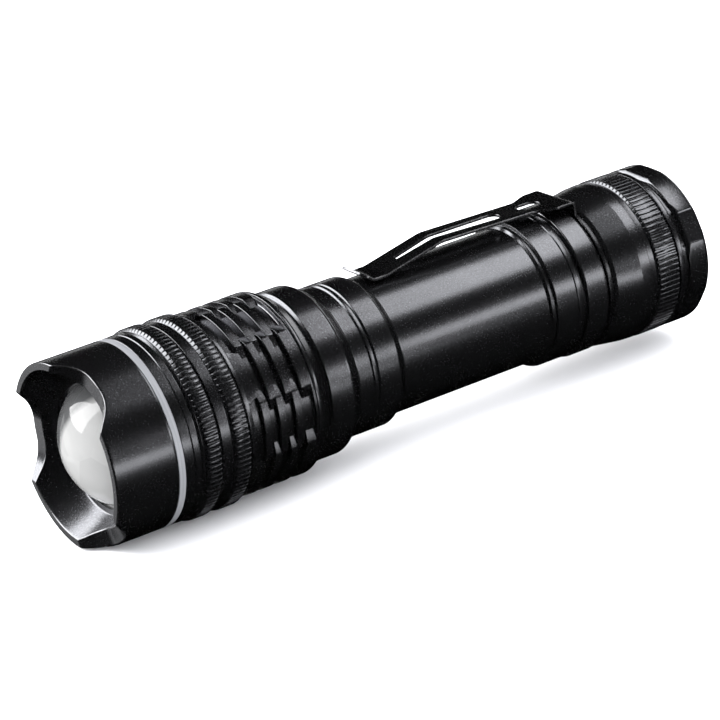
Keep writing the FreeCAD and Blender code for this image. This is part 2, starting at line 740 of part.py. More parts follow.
def cell_end():
    """Station of the cells' flat rear ends."""
    return CARRIER_FRONT + DISC_THICKNESS + CELL_SPRING_LENGTH + CELL_LENGTH + CELL_NUB_LENGTH


def carrier_frame():
    """Plastic carrier: two discs joined by three posts and a thin core."""
    front = rod(CARRIER_FRONT, CARRIER_FRONT + DISC_THICKNESS, DISC_RADIUS)
    rear = rod(cell_end(), cell_end() + DISC_THICKNESS, DISC_RADIUS)
    base = FreeCAD.Vector(CARRIER_FRONT, 0, POST_CIRCLE)
    post = Part.makeCylinder(POST_RADIUS, cell_end() - CARRIER_FRONT + 1, base, AXIS)
    core = rod(CARRIER_FRONT, cell_end() + 1, CELL_CIRCLE - CELL_RADIUS - 0.1)
    return front.fuse([rear, core] + ring_of_solids(post, CELL_COUNT, 60))


def carrier_contacts():
    """Front button contact and rear contact plate of the carrier."""
    button = rod(CARRIER_FRONT - CONTACT_THICKNESS, CARRIER_FRONT, CONTACT_BUTTON_RADIUS)
    start = cell_end() + DISC_THICKNESS
    plate = rod(start, start + CONTACT_THICKNESS, CONTACT_PLATE_RADIUS)
    return Part.makeCompound([button, plate])


def cell_springs():
    """One coil spring in front of each cell."""
    start = CARRIER_FRONT + DISC_THICKNESS
    end = start + CELL_SPRING_LENGTH - CLEARANCE
    start += CLEARANCE
    spring = coil(start, end, CELL_SPRING_BASE, CELL_SPRING_TIP, CELL_SPRING_TURNS, CELL_SPRING_WIRE)
    spring.translate(FreeCAD.Vector(0, 0, CELL_CIRCLE))
    return Part.makeCompound(ring_of_solids(spring, CELL_COUNT))


def battery_cells():
    """Three AAA cells side by side."""
    start = CARRIER_FRONT + DISC_THICKNESS + CELL_SPRING_LENGTH
    cell = turned([
        (start, 0),
        (start + CELL_LENGTH + CELL_NUB_LENGTH, 0),
        (start + CELL_LENGTH + CELL_NUB_LENGTH, CELL_NUB_RADIUS, 0.3),
        (start + CELL_LENGTH, CELL_NUB_RADIUS),
        (start + CELL_LENGTH, CELL_RADIUS, 0.6),
        (start, CELL_RADIUS, 0.5),
    ])
    cell.translate(FreeCAD.Vector(0, 0, CELL_CIRCLE))
    return Part.makeCompound(ring_of_solids(cell, CELL_COUNT))


def strip(centre_line, thickness, width):
    """Bent sheet whose centre line is (station, height, bend radius) points."""
    upper = []
    lower = []
    count = len(centre_line)
    points = [FreeCAD.Vector(station, 0, height) for station, height, bend in centre_line]
    for index in range(count):
        before = points[index] - points[max(index - 1, 0)]
        after = points[min(index + 1, count - 1)] - points[index]
        if index == 0:
            before = after
        if index == count - 1:
            after = before
        before.normalize()
        after.normalize()
        normal = FreeCAD.Vector(-before.z, 0, before.x)
        mitre = normal + FreeCAD.Vector(-after.z, 0, after.x)
        mitre.normalize()
        offset = mitre * (thickness / 2 / mitre.dot(normal))
        bend = centre_line[index][2]
        upward = math.copysign(thickness / 2, after.dot(normal))
        spread = upward if bend else 0
        upper.append((points[index] + offset, bend - spread))
        lower.append((points[index] - offset, bend + spread))
    corners = [(point.x, -width / 2, point.z, bend) for point, bend in upper]
    corners += [(point.x, -width / 2, point.z, bend) for point, bend in reversed(lower)]
    return Part.Face(rounded_wire(corners)).extrude(FreeCAD.Vector(0, width, 0))


def plan_prism(half_outline):
    """Tall prism over a plan that is mirrored about the clip's centre line."""
    corners = [(station, half, 0, radius) for station, half, radius in half_outline]
    corners += [(station, -half, 0, radius) for station, half, radius in reversed(half_outline)]
    return Part.Face(rounded_wire(corners)).extrude(FreeCAD.Vector(0, 0, 2 * KNURL_RADIUS))


def hinge_rod(radius):
    """Cylinder across the clip, on the line that its leaf bends about."""
    base = FreeCAD.Vector(CLIP_HINGE, -CLIP_WIDTH, CLIP_HINGE_HEIGHT)
    return Part.makeCylinder(radius, 2 * CLIP_WIDTH, base, FreeCAD.Vector(0, 1, 0))


def clip_leaf():
    """Long springy leaf: upturned tip, touching bend, slotted flat."""
    touch_height = BARREL_RADIUS + CLIP_TOUCH_GAP + CLIP_THICKNESS / 2
    bent = strip([
        (CLIP_TIP, CLIP_TIP_HEIGHT, 0),
        (CLIP_TOUCH_START, touch_height, TIP_BEND),
        (CLIP_TOUCH_END, touch_height, TIP_BEND),
        (CLIP_RISE_END, CLIP_PEAK_HEIGHT, RISE_BEND),
        (CLIP_HINGE, CLIP_HINGE_HEIGHT, 0),
    ], CLIP_THICKNESS, CLIP_WIDTH)
    half = CLIP_WIDTH / 2
    outline = plan_prism([
        (CLIP_TIP - CLIP_THICKNESS / 2, half, CLIP_TIP_CORNER),
        (SLOT_END + CLIP_WIDTH, half, 0),
    ])
    slot = plan_prism([
        (SLOT_START, SLOT_NARROW / 2, SLOT_FRONT_CORNER),
        (SLOT_END, SLOT_WIDTH / 2, SLOT_REAR_CORNER),
    ])
    bent = bent.common(outline).cut(slot)
    return bent.fuse(hinge_rod(CLIP_THICKNESS / 2).common(outline))


def clip_ring():
    """Base of the clip: plate, upright tab and the ring held by the tail cap."""
    ring_end = CLIP_RING_START + CLIP_RING_THICKNESS
    ring = tube(CLIP_RING_START, ring_end, CLIP_RING_RADIUS, CLIP_RING_BORE, 0.15)
    tab_centre = CLIP_RING_START + CLIP_RING_THICKNESS / 2
    bent = strip([
        (CLIP_HINGE, CLIP_HINGE_HEIGHT, 0),
        (PLATE_START, PLATE_HEIGHT, PLATE_BEND),
        (tab_centre, PLATE_HEIGHT, TAB_BEND),
        (tab_centre, TAB_ROOT_RADIUS, 0),
    ], CLIP_THICKNESS, PLATE_WIDTH)
    narrow = CLIP_WIDTH / 2
    wide = PLATE_WIDTH / 2
    outline = plan_prism([
        (CLIP_HINGE, narrow, 0),
        (PLATE_FLARE_START, narrow, PLATE_FLARE_BEND),
        (PLATE_FLARE_END, wide, PLATE_FLARE_BEND),
        (ring_end, wide, 0),
    ])
    hole = plan_prism([
        (HOLE_START, HOLE_WIDTH / 2, HOLE_CORNER),
        (HOLE_END, HOLE_WIDTH / 2, HOLE_CORNER),
    ])
    bent = bent.common(outline).cut([hole, hinge_rod(CLIP_THICKNESS / 2 + CLIP_HINGE_GAP)])
    return ring.fuse(bent)


def tail_cap():
    """Knurled screw cap with a crowned rim, a button hole and the switch's seat."""
    body = turned([
        (CAP_START, CAP_BORE, 0.2),
        (CAP_BORE_END, CAP_BORE),
        (CAP_BORE_END, BOARD_BORE),
        (BOARD_SHOULDER, BOARD_BORE),
        (BOARD_SHOULDER, SWITCH_BORE),
        (SWITCH_WALL, SWITCH_BORE),
        (SWITCH_WALL, BUTTON_HOLE),
        (CROWN_FLOOR, BUTTON_HOLE, 0.3),
        (CROWN_FLOOR, CROWN_WALL, 0.5),
        (LENGTH, CROWN_WALL, 0.3),
        (LENGTH, CAP_RADIUS, CROWN_CHAMFER),
        (CROWN_START, CAP_RADIUS, 0.3),
        (CROWN_START, CAP_RADIUS - CROWN_GROOVE_DEPTH),
        (CROWN_GROOVE_START, CAP_RADIUS - CROWN_GROOVE_DEPTH),
        (CROWN_GROOVE_START, CAP_RADIUS, 0.3),
        (CAP_BAND_END, CAP_RADIUS - 0.1),
        (CAP_BAND_END, CAP_RADIUS - CAP_BAND_DEPTH),
        (CAP_WAIST + 0.1, CAP_RADIUS - CAP_BAND_DEPTH),
        (CAP_WAIST, CAP_WAIST_RADIUS, 0.2),
        (CAP_KINK, CAP_KINK_RADIUS, 0.6),
        (CAP_START + CAP_FACE_BEVEL, CAP_FRONT_RADIUS, 0.3),
        (CAP_START, CAP_FACE_RADIUS),
    ])
    band_root = CAP_RADIUS - 2 * CAP_BAND_DEPTH
    band = knurled_band(CAP_BAND_START, CAP_BAND_END, CAP_RADIUS, band_root, CAP_TEETH, CAP_TOOTH_BEVEL)
    body = body.fuse(band)
    half = CROWN_FLAT_WIDTH / 2
    top = CAP_RADIUS + 1
    flare = half + (top - CROWN_FLAT_RADIUS) * CROWN_FLAT_FLARE
    corners = [
        (CROWN_START, -half, CROWN_FLAT_RADIUS, 0.3),
        (CROWN_START, half, CROWN_FLAT_RADIUS, 0.3),
        (CROWN_START, flare, top, 0),
        (CROWN_START, -flare, top, 0),
    ]
    length = LENGTH - CROWN_START + 1
    flat = Part.Face(rounded_wire(corners)).extrude(AXIS * length)
    bite_top = CROWN_BITE_RADIUS + CROWN_BITE_REACH
    corners = [
        (CROWN_START, -CAP_RADIUS, CROWN_BITE_RADIUS, 0),
        (CROWN_START + CROWN_BITE_REACH, -CAP_RADIUS, bite_top, 0),
        (CROWN_START, -CAP_RADIUS, bite_top, 0),
    ]
    bite = Part.Face(rounded_wire(corners)).extrude(FreeCAD.Vector(0, 2 * CAP_RADIUS, 0))
    cuts = ring_of_solids(flat, CROWN_FLATS, CROWN_FLAT_PHASE)
    cuts += ring_of_solids(bite, CROWN_FLATS, CROWN_FLAT_PHASE)
    return body.cut(cuts)


def tail_spring():
    """Conical contact spring between the switch board and the battery carrier."""
    start = cell_end() + DISC_THICKNESS + CONTACT_THICKNESS + CONTACT_GAP
    end = BOARD_SHOULDER - SWITCH_BOARD_THICKNESS - CLEARANCE
    return coil(start, end, TAIL_SPRING_TIP, TAIL_SPRING_BASE, TAIL_SPRING_TURNS, TAIL_SPRING_WIRE)


def switch_board():
    """Round board that carries the switch and the tail spring."""
    return rod(BOARD_SHOULDER - SWITCH_BOARD_THICKNESS, BOARD_SHOULDER, BOARD_BORE - CLEARANCE)


def switch_body():
    """Housing of the click switch, bored for its plunger."""
    length = SWITCH_BODY_END - BOARD_SHOULDER
    corner = FreeCAD.Vector(BOARD_SHOULDER, -SWITCH_SIDE / 2, -SWITCH_SIDE / 2)
    block = Part.makeBox(length, SWITCH_SIDE, SWITCH_SIDE, corner)
    block = block.common(tube(BOARD_SHOULDER, SWITCH_BODY_END, SWITCH_CORNER_RADIUS, 0, 0.4))
    bottom = PLUNGER_START - BUTTON_TRAVEL - 0.2
    return block.cut(rod(bottom, SWITCH_BODY_END, PLUNGER_RADIUS + CLEARANCE))


def switch_plunger():
    """Stem that the button pushes into the switch."""
    return rod(PLUNGER_START, SWITCH_WALL - BOOT_FLANGE - CLEARANCE, PLUNGER_RADIUS)


def switch_boot():
    """Rubber button: flange behind the wall and a domed face."""
    flange_start = SWITCH_WALL - BOOT_FLANGE - CLEARANCE
    return turned([
        (flange_start, 0),
        (flange_start, BOOT_FLANGE_RADIUS),
        (SWITCH_WALL - CLEARANCE, BOOT_FLANGE_RADIUS, 0.3),
        (SWITCH_WALL - CLEARANCE, BOOT_RADIUS),
        (BOOT_TIP - BOOT_EDGE, BOOT_RADIUS, BOOT_EDGE),
        (BOOT_TIP, BOOT_FACE_RADIUS, BOOT_DOME),
        (BOOT_TIP, 0),
    ])


def switch_retainer():
    """Threaded ring that clamps the switch board against its shoulder."""
    end = BOARD_SHOULDER - SWITCH_BOARD_THICKNESS
    start = end - SWITCH_RETAINER_LENGTH
    ring = tube(start, end, BOARD_BORE - CLEARANCE, SWITCH_RETAINER_BORE, 0.2)
    return ring.cut(spanner_slot(start))


PIECES = [
    bezel, accent_ring, lens, lens_gasket, lens_retainer, head_sleeve, glide_ring,
    focus_tube, stop_ring, focus_oring,
    led_pillar, led_board, led_emitter, led_centring_ring, led_leads,
    driver_board, driver_spring,
    barrel, barrel_oring, clip_ring, clip_leaf,
    carrier_frame, carrier_contacts, cell_springs, battery_cells,
    tail_oring, tail_cap, tail_spring, switch_board, switch_body,
    switch_plunger, switch_boot, switch_retainer,
]

os.makedirs("parts", exist_ok=True)
for make in PIECES:
    shape = make()
    shape.translate(FreeCAD.Vector(-LENGTH / 2, 0, AXIS_HEIGHT))
    name = make.__name__
    shape.exportStep("parts/" + name + ".step")
    print(name, len(shape.Solids), "solids", round(shape.Volume, 1), "mm3", shape.isValid())
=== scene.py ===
import bpy
import bmesh
import math
from mathutils import Matrix, Vector


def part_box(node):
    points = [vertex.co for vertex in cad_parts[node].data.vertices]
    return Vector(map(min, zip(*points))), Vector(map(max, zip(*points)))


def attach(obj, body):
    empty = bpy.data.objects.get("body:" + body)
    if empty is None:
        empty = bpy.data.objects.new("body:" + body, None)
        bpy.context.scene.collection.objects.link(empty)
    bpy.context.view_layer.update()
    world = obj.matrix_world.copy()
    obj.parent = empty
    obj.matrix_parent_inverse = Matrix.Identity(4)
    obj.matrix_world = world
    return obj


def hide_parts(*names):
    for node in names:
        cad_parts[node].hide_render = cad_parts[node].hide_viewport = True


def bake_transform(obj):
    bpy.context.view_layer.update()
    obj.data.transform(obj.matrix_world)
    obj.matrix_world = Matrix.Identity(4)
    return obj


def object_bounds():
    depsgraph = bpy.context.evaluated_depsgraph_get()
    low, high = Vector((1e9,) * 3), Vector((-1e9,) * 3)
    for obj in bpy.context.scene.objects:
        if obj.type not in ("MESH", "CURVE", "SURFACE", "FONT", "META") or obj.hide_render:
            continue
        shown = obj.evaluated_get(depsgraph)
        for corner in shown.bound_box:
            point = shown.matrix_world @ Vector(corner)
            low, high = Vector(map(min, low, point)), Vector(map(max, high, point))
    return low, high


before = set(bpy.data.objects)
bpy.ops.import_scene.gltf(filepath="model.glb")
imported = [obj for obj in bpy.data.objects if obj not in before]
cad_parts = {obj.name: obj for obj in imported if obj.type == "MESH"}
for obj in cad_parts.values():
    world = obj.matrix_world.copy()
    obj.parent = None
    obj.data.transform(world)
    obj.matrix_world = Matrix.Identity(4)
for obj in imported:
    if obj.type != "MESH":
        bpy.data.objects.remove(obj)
cad_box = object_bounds()

# Lengths below are millimetres along the light (stations, from the front rim) and radii.
# place() turns them into metres in the frame that the CAD parts share.
MM = 0.001
FRONT = cad_box[0][0]
AXIS = (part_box("barrel")[0][2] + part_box("barrel")[1][2]) / 2


def place(station, radius, angle):
    """Point in metres at a station, radius and angle from the top towards -Y."""
    return (FRONT + station * MM, -radius * MM * math.sin(angle), AXIS + radius * MM * math.cos(angle))


# ---------------------------------------------------------------- mesh helpers

def rounded(corners, steps=4, closed=True):
    """(station, radius, wear) points through (station, radius, fillet) corners."""
    points = []
    count = len(corners)
    for i, corner in enumerate(corners):
        here = Vector(corner[:2])
        fillet = corner[2] if len(corner) > 2 else 0.0
        if fillet == 0 or (not closed and i in (0, count - 1)):
            points.append((here.x, here.y, 0.0))
            continue
        back = (Vector(corners[i - 1][:2]) - here)
        ahead = (Vector(corners[(i + 1) % count][:2]) - here)
        half = back.angle(ahead) / 2
        reach = fillet / math.tan(half)
        limit = 0.49 * min(back.length, ahead.length)
        if reach > limit:
            reach = limit
            fillet = reach * math.tan(half)
        back.normalize()
        ahead.normalize()
        centre = here + (back + ahead).normalized() * fillet / math.sin(half)
        first = here + back * reach - centre
        last = here + ahead * reach - centre
        turn = first.angle(last)
        sharp = 1.0 if fillet < 0.7 else 0.0
        for k in range(steps + 1):
            t = k / steps
            a = math.sin((1 - t) * turn) / math.sin(turn)
            b = math.sin(t * turn) / math.sin(turn)
            point = centre + first * a + last * b
            wear = sharp * (1 - abs(2 * t - 1))
            points.append((point.x, point.y, wear))
    return points


def build(name, verts, faces, wear=None, sharp=32):
    """Object from metre vertices, with smooth faces and a wear value per vertex."""
    mesh = bpy.data.meshes.new(name)
    mesh.from_pydata(verts, [], faces)
    if wear is not None:
        layer = mesh.attributes.new("wear", "FLOAT", "POINT")
        layer.data.foreach_set("value", wear)
    bm = bmesh.new()
    bm.from_mesh(mesh)
    bmesh.ops.remove_doubles(bm, verts=bm.verts, dist=2e-7)
    bmesh.ops.dissolve_degenerate(bm, edges=bm.edges, dist=1e-8)
    bmesh.ops.recalc_face_normals(bm, faces=bm.faces)
    bm.to_mesh(mesh)
    bm.free()
    mesh.shade_smooth()
    mesh.set_sharp_from_angle(angle=math.radians(sharp))
    piece = bpy.data.objects.new(name, mesh)
    bpy.context.scene.collection.objects.link(piece)
    weights = piece.modifiers.new("weights", "WEIGHTED_NORMAL")
    weights.keep_sharp = True
    weights.weight = 80
    return piece


def grid(rows, wrap_rows, wrap_columns):
    """Quads over equally long rows of vertex numbers laid end to end."""
    count, width = rows
    faces = []
    for i in range(count if wrap_rows else count - 1):
        j = (i + 1) % count
        for k in range(width if wrap_columns else width - 1):
            m = (k + 1) % width
            faces.append((i * width + k, j * width + k, j * width + m, i * width + m))
    return faces


class Soup:
    """Vertices, faces and wear values gathered for one piece."""

    def __init__(self):
        self.verts, self.faces, self.wear = [], [], []

    def add(self, verts, faces, wear):
        base = len(self.verts)
        self.verts += verts
        self.faces += [tuple(base + v for v in face) for face in faces]
        self.wear += wear

    def turned(self, outline, count=192, steps=4, radius_of=None):
        """Closed outline turned right round; radius_of(angle, station, radius) may change it."""
        section = rounded(outline, steps)
        verts, wear = [], []
        for index in range(count):
            angle = 2 * math.pi * index / count
            for station, radius, worn in section:
                if radius_of:
                    radius = radius_of(angle, station, radius)
                verts.append(place(station, radius, angle))
                wear.append(worn)
        self.add(verts, grid((count, len(section)), True, True), wear)

    def piece(self, name, sharp=32):
        return build(name, self.verts, self.faces, self.wear, sharp)


def lathe(name, outline, count=192, steps=4):
    soup = Soup()
    soup.turned(outline, count, steps)
    return soup.piece(name)


# ---------------------------------------------------------------- dimensions

BEZEL_RADIUS = 18.5
BEZEL_END = 13.3
NOTCHES = 3
NOTCH_PHASE = 29.8
NOTCH_DEPTH = 3.8
NOTCH_HALF_FLOOR = 4.62
NOTCH_FLARE = 1.165
RIM_BORE = 16.9
LENS_LIP_FRONT = 6.7
LENS_LIP_BORE = 13.5
SLEEVE_BORE = 15.9
HEAD_BANDS = ((19.0, 22.9), (25.1, 29.3))
HEAD_TEETH = 106
HEAD_TOOTH_BEVEL = 0.74
KNURL_RADIUS = 19.05
BAND_BED = 18.3
TOOTH_DEPTH = 0.26
FIN_RADIUS = 18.4
FIN_FLOOR = 17.4
FIN_ROOT = FIN_FLOOR - 0.3
FIN_START = 30.4
SECTORS = 10
SECTOR_PHASE = 56.7
LONG_FINS = [(34.7, 36.3), (38.2, 39.9), (41.8, 44.12)]
SHORT_FINS = [(32.5, 34.1), (35.9, 37.5), (39.5, 41.1)]
SLEEVE_END = 47.6
COLLAR_RADIUS = 17.1
TUBE_RADIUS = 15.2
TUBE_END = 60.6
BARREL_RADIUS = 13.93
BARREL_END = 124.3
BARREL_COLLAR = 15.12
THREAD_CREST = 13.55
THREAD_ROOT = 13.0
CAP_RADIUS = 16.5
CAP_BED = 15.9
CAP_BAND = (128.1, 133.8)
CAP_TEETH = 92
CAP_TOOTH_BEVEL = 0.5
CROWN_START = 136.2
CROWN_FLOOR = 15.8
CROWN_FLATS = 6
CROWN_PHASE = 63.4
CAP_END = 141.5
LENS_DOME = 14.0
CLIP_THICKNESS = 0.6
CLIP_HALF_WIDTH = 3.9
CLIP_TIP = 66.9
CLIP_TAB = 117.1


# ---------------------------------------------------------------- bezel

def notch_depth(y):
    """Depth of the notch at a sideways distance y from its middle, with rounded corners."""
    depth, floor = NOTCH_DEPTH, NOTCH_HALF_FLOOR
    r_floor, r_rim = 8.0, 0.6
    y = abs(y)
    slope = math.atan(1 / NOTCH_FLARE)
    t_floor = r_floor * math.tan(slope / 2)
    t_rim = r_rim * math.tan(slope / 2)
    mouth = floor + depth * NOTCH_FLARE
    if y <= floor - t_floor:
        return depth
    if y < floor + t_floor * math.cos(slope):
        d = y - (floor - t_floor)
        return depth - (r_floor - math.sqrt(max(0.0, r_floor ** 2 - d ** 2)))
    if y < mouth - t_rim * math.cos(slope):
        return depth - (y - floor) / NOTCH_FLARE
    if y < mouth + t_rim:
        d = (mouth + t_rim) - y
        return r_rim - math.sqrt(max(0.0, r_rim ** 2 - d ** 2))
    return 0.0


def from_nearest(angle, phase, count):
    """Angle from the nearest of count evenly spaced places, the first of them at phase degrees."""
    step = 2 * math.pi / count
    return (angle - math.radians(phase) + step / 2) % step - step / 2


def make_bezel():
    """Front ring: three notches in a rounded rim, a cone down to the lens and the lens lip."""
    count = 960
    rim, lip_front, lip = RIM_BORE, LENS_LIP_FRONT, LENS_LIP_BORE
    cone = (rim - lip) / lip_front
    outer_fillet, inner_fillet = 0.32, 0.22
    skirt = BEZEL_END - 0.18
    soup = Soup()
    verts, wear = [], []
    width = 0
    for i in range(count):
        angle = 2 * math.pi * i / count
        local = from_nearest(angle, NOTCH_PHASE, NOTCHES)

        def front(radius):
            return notch_depth(radius * math.sin(local))

        station = 0.0
        for _ in range(12):
            station = front(rim - cone * station) * 0.5 + station * 0.5
        inner = rim - cone * station
        ring = [(BEZEL_END, 15.85, 0), (BEZEL_END, BEZEL_RADIUS - 0.15, 0)]
        ring += [(BEZEL_END - 0.05, BEZEL_RADIUS - 0.05, 0.5), (skirt, BEZEL_RADIUS, 0.3)]
        for t in (0.03, 0.25, 0.5, 0.75, 0.97):
            end = front(BEZEL_RADIUS) + outer_fillet
            ring.append((skirt + (end - skirt) * t, BEZEL_RADIUS, 0))
        for k in range(6):
            turn = math.pi / 2 * k / 5
            radius = BEZEL_RADIUS - outer_fillet * (1 - math.cos(turn))
            s = front(radius) + outer_fillet * (1 - math.sin(turn))
            ring.append((s, radius, 1 - abs(k - 2.5) * 0.25))
        start = BEZEL_RADIUS - outer_fillet
        stop = inner + inner_fillet
        for t in (0.04, 0.2, 0.35, 0.5, 0.65, 0.8, 0.96):
            radius = start + (stop - start) * t
            ring.append((front(radius), radius, 0))
        a = Vector((front(stop), stop))
        b = Vector((front(inner), inner))
        c = Vector((station + inner_fillet, rim - cone * (station + inner_fillet)))
        for k in range(6):
            t = k / 5
            p = a * (1 - t) ** 2 + b * 2 * t * (1 - t) + c * t ** 2
            ring.append((p.x, p.y, 1 - abs(t - 0.5) * 1.2))
        for t in (0.04, 0.25, 0.5, 0.75, 0.97):
            s = c.x + (lip_front - 0.15 - c.x) * t
            ring.append((s, rim - cone * s, 0))
        ring += [(lip_front - 0.1, lip + 0.02, 0.2), (lip_front, lip - 0.1, 0.2)]
        ring += [(lip_front, 12.5, 0), (lip_front + 0.05, 12.4, 0.3), (7.45, 12.4, 0)]
        ring += [(7.45, 13.8, 0), (19.5, 13.8, 0), (19.5, 15.85, 0)]
        width = len(ring)
        for s, radius, worn in ring:
            verts.append(place(s, radius, angle))
            wear.append(worn)
    soup.add(verts, grid((count, width), True, True), wear)
    return soup.piece("bezel_shell", sharp=50)


# ---------------------------------------------------------------- sleeve

def add_knurl(soup, start, end, outer, inner, teeth, bevel):
    """Ring of flat-topped teeth with narrow grooves and bevelled ends."""
    half = [(0.0, 0.0), (0.3, 0.0), (0.33, 0.03), (0.37, 0.16), (0.4, TOOTH_DEPTH), (0.5, TOOTH_DEPTH)]
    across = [(-offset, drop) for offset, drop in reversed(half)] + half[1:-1]
    ends = [(0.0, 1.0), (0.07, 0.86), (0.80, 0.13), (0.90, 0.04), (1.0, 0.0)]
    profile = [(start + d * bevel, drop * bevel) for d, drop in ends]
    profile += [((start + end) / 2, 0.0)]
    profile += [(end - d * bevel, drop * bevel) for d, drop in reversed(ends)]
    verts, wear = [], []
    for i in range(teeth):
        for offset, groove in across:
            angle = 2 * math.pi * (i + offset) / teeth
            verts.append(place(start, inner, angle))
            wear.append(0)
            for station, drop in profile:
                verts.append(place(station, outer - max(groove, drop), angle))
                wear.append(0.12 if drop > 0.02 else 0.0)
            verts.append(place(end, inner, angle))
            wear.append(0)
    soup.add(verts, grid((teeth * len(across), len(profile) + 2), True, True), wear)


def add_fin(soup, start, end, from_angle, to_angle):
    """Fin over one sector, with a ramp down to the groove floor beyond each end."""
    ramp, depth, edge = 2.3, FIN_RADIUS - FIN_FLOOR + 0.02, 0.12
    length = math.radians(to_angle - from_angle) * FIN_RADIUS
    rise = [(-ramp, depth), (-ramp / 2, depth / 2), (-0.15, 0.1), (0.05, 0.03), (0.3, 0.0)]
    middle = [(length * step / 12, 0.0) for step in range(1, 12)]
    samples = rise + middle + [(length - position, drop) for position, drop in reversed(rise)]
    verts, wear = [], []
    size = 0
    for position, drop in samples:
        angle = math.radians(from_angle) + position / FIN_RADIUS
        section = rounded([
            (start, FIN_ROOT),
            (start, FIN_RADIUS - drop, edge),
            (end, FIN_RADIUS - drop, edge),
            (end, FIN_ROOT),
        ], 4)
        size = len(section)
        for station, radius, worn in section:
            verts.append(place(station, radius, angle))
            wear.append(0.4 * worn)
    faces = grid((len(samples), size), False, True)
    faces.append(tuple(range(size)))
    faces.append(tuple(range((len(samples) - 1) * size, len(samples) * size)))
    soup.add(verts, faces, wear)


def add_tongue(soup, centre):
    """Land behind the rear knurled band, narrowing into a long sector."""
    reach, fillet = 2.3, 0.3
    middle = math.radians(centre)
    wide = FIN_RADIUS * math.sin(math.pi / SECTORS)
    narrow = wide - 1.3
    rows = [(FIN_START - 0.2, wide, 0.0), (FIN_START + 0.4, wide - 0.34, 0.0)]
    rows += [(FIN_START + 1.2, wide - 0.79, 0.0)]
    for k in range(6):
        turn = math.pi / 2 * k / 5
        station = FIN_START + reach - fillet * (1 - math.sin(turn))
        side = narrow + (FIN_START + reach - station) * 0.565 - 0.25 * (1 - math.cos(turn))
        rows.append((station, side, 0.2 * (1 - math.cos(turn))))
    verts, wear = [], []
    across = [-1, -0.975, -0.95, -0.7, -0.35, 0, 0.35, 0.7, 0.95, 0.975, 1]
    for station, side, drop in rows:
        verts.append(place(station, FIN_ROOT, middle - math.asin(side / FIN_RADIUS)))
        wear.append(0)
        for t in across:
            edge = max(0.0, abs(t) - 0.95) / 0.05
            angle = middle + math.asin(t * side / FIN_RADIUS)
            radius = FIN_RADIUS + 0.005 - drop - 0.2 * edge ** 2
            verts.append(place(station, radius, angle))
            wear.append(min(1.0, edge + drop * 4))
        verts.append(place(station, FIN_ROOT, middle + math.asin(side / FIN_RADIUS)))
        wear.append(0)
    size = len(across) + 2
    faces = grid((len(rows), size), False, True)
    faces.append(tuple(range(size)))
    faces.append(tuple(range((len(rows) - 1) * size, len(rows) * size)))
    soup.add(verts, faces, wear)


def make_sleeve():
    """Sliding sleeve: two knurled bands, staggered fins and a turned rear rim."""
    soup = Soup()
    soup.turned([
        (14.72, SLEEVE_BORE), (43.6, SLEEVE_BORE), (43.6, 15.25), (SLEEVE_END, 15.25, 0.2),
        (SLEEVE_END, 16.95, 0.15), (46.9, 17.45, 1.5), (45.3, FIN_RADIUS, 1.2), (44.62, FIN_RADIUS, 0.1),
        (44.52, 18.1, 0.03), (44.22, 18.1, 0.03), (44.12, FIN_RADIUS, 0.08), (43.9, FIN_RADIUS, 0.06),
        (43.9, FIN_FLOOR, 0.35), (FIN_START, FIN_FLOOR, 0.35), (FIN_START, FIN_RADIUS, 0.2),
        (29.34, 18.52, 0.05), (29.3, BAND_BED), (25.1, BAND_BED), (25.06, 18.6, 0.14),
        (22.94, 18.6, 0.14), (22.9, BAND_BED), (19.0, BAND_BED), (18.96, 18.62, 0.18),
        (18.24, 18.08, 0.2), (18.1, 18.55, 0.08), (16.95, 18.55, 0.05), (16.82, 18.4, 0.03),
        (16.66, BEZEL_RADIUS, 0.12), (14.72, BEZEL_RADIUS, 0.14),
    ], count=240)
    for start, end in HEAD_BANDS:
        add_knurl(soup, start, end, KNURL_RADIUS, BAND_BED - 0.3, HEAD_TEETH, HEAD_TOOTH_BEVEL)
    sector = 360.0 / SECTORS
    for index in range(SECTORS):
        centre = SECTOR_PHASE + index * sector
        for start, end in (LONG_FINS if index % 2 == 0 else SHORT_FINS):
            add_fin(soup, start, end, centre - sector / 2, centre + sector / 2)
        if index % 2 == 0:
            add_tongue(soup, centre)
    return soup.piece("sleeve_shell", sharp=50)


# ---------------------------------------------------------------- neck, barrel

def make_neck():
    """Neck that the head slides on, with its ring and seal grooves and a collar."""
    return lathe("focus_neck", [
        (27.0, 13.05), (TUBE_END, 13.05), (TUBE_END, TUBE_RADIUS, 0.25),
        (59.72, TUBE_RADIUS, 0.05), (59.45, 14.93, 0.05), (58.35, 14.93, 0.03), (58.3, TUBE_RADIUS, 0.03),
        (56.1, TUBE_RADIUS, 0.9), (53.7, COLLAR_RADIUS, 1.4), (48.55, COLLAR_RADIUS, 0.1),
        (47.9, 16.45, 0.1), (47.9, TUBE_RADIUS), (33.4, TUBE_RADIUS), (33.4, 14.4), (31.6, 14.4),
        (31.6, TUBE_RADIUS), (29.8, TUBE_RADIUS), (29.8, 14.25), (28.2, 14.25), (28.2, TUBE_RADIUS),
        (27.0, TUBE_RADIUS, 0.3),
    ])


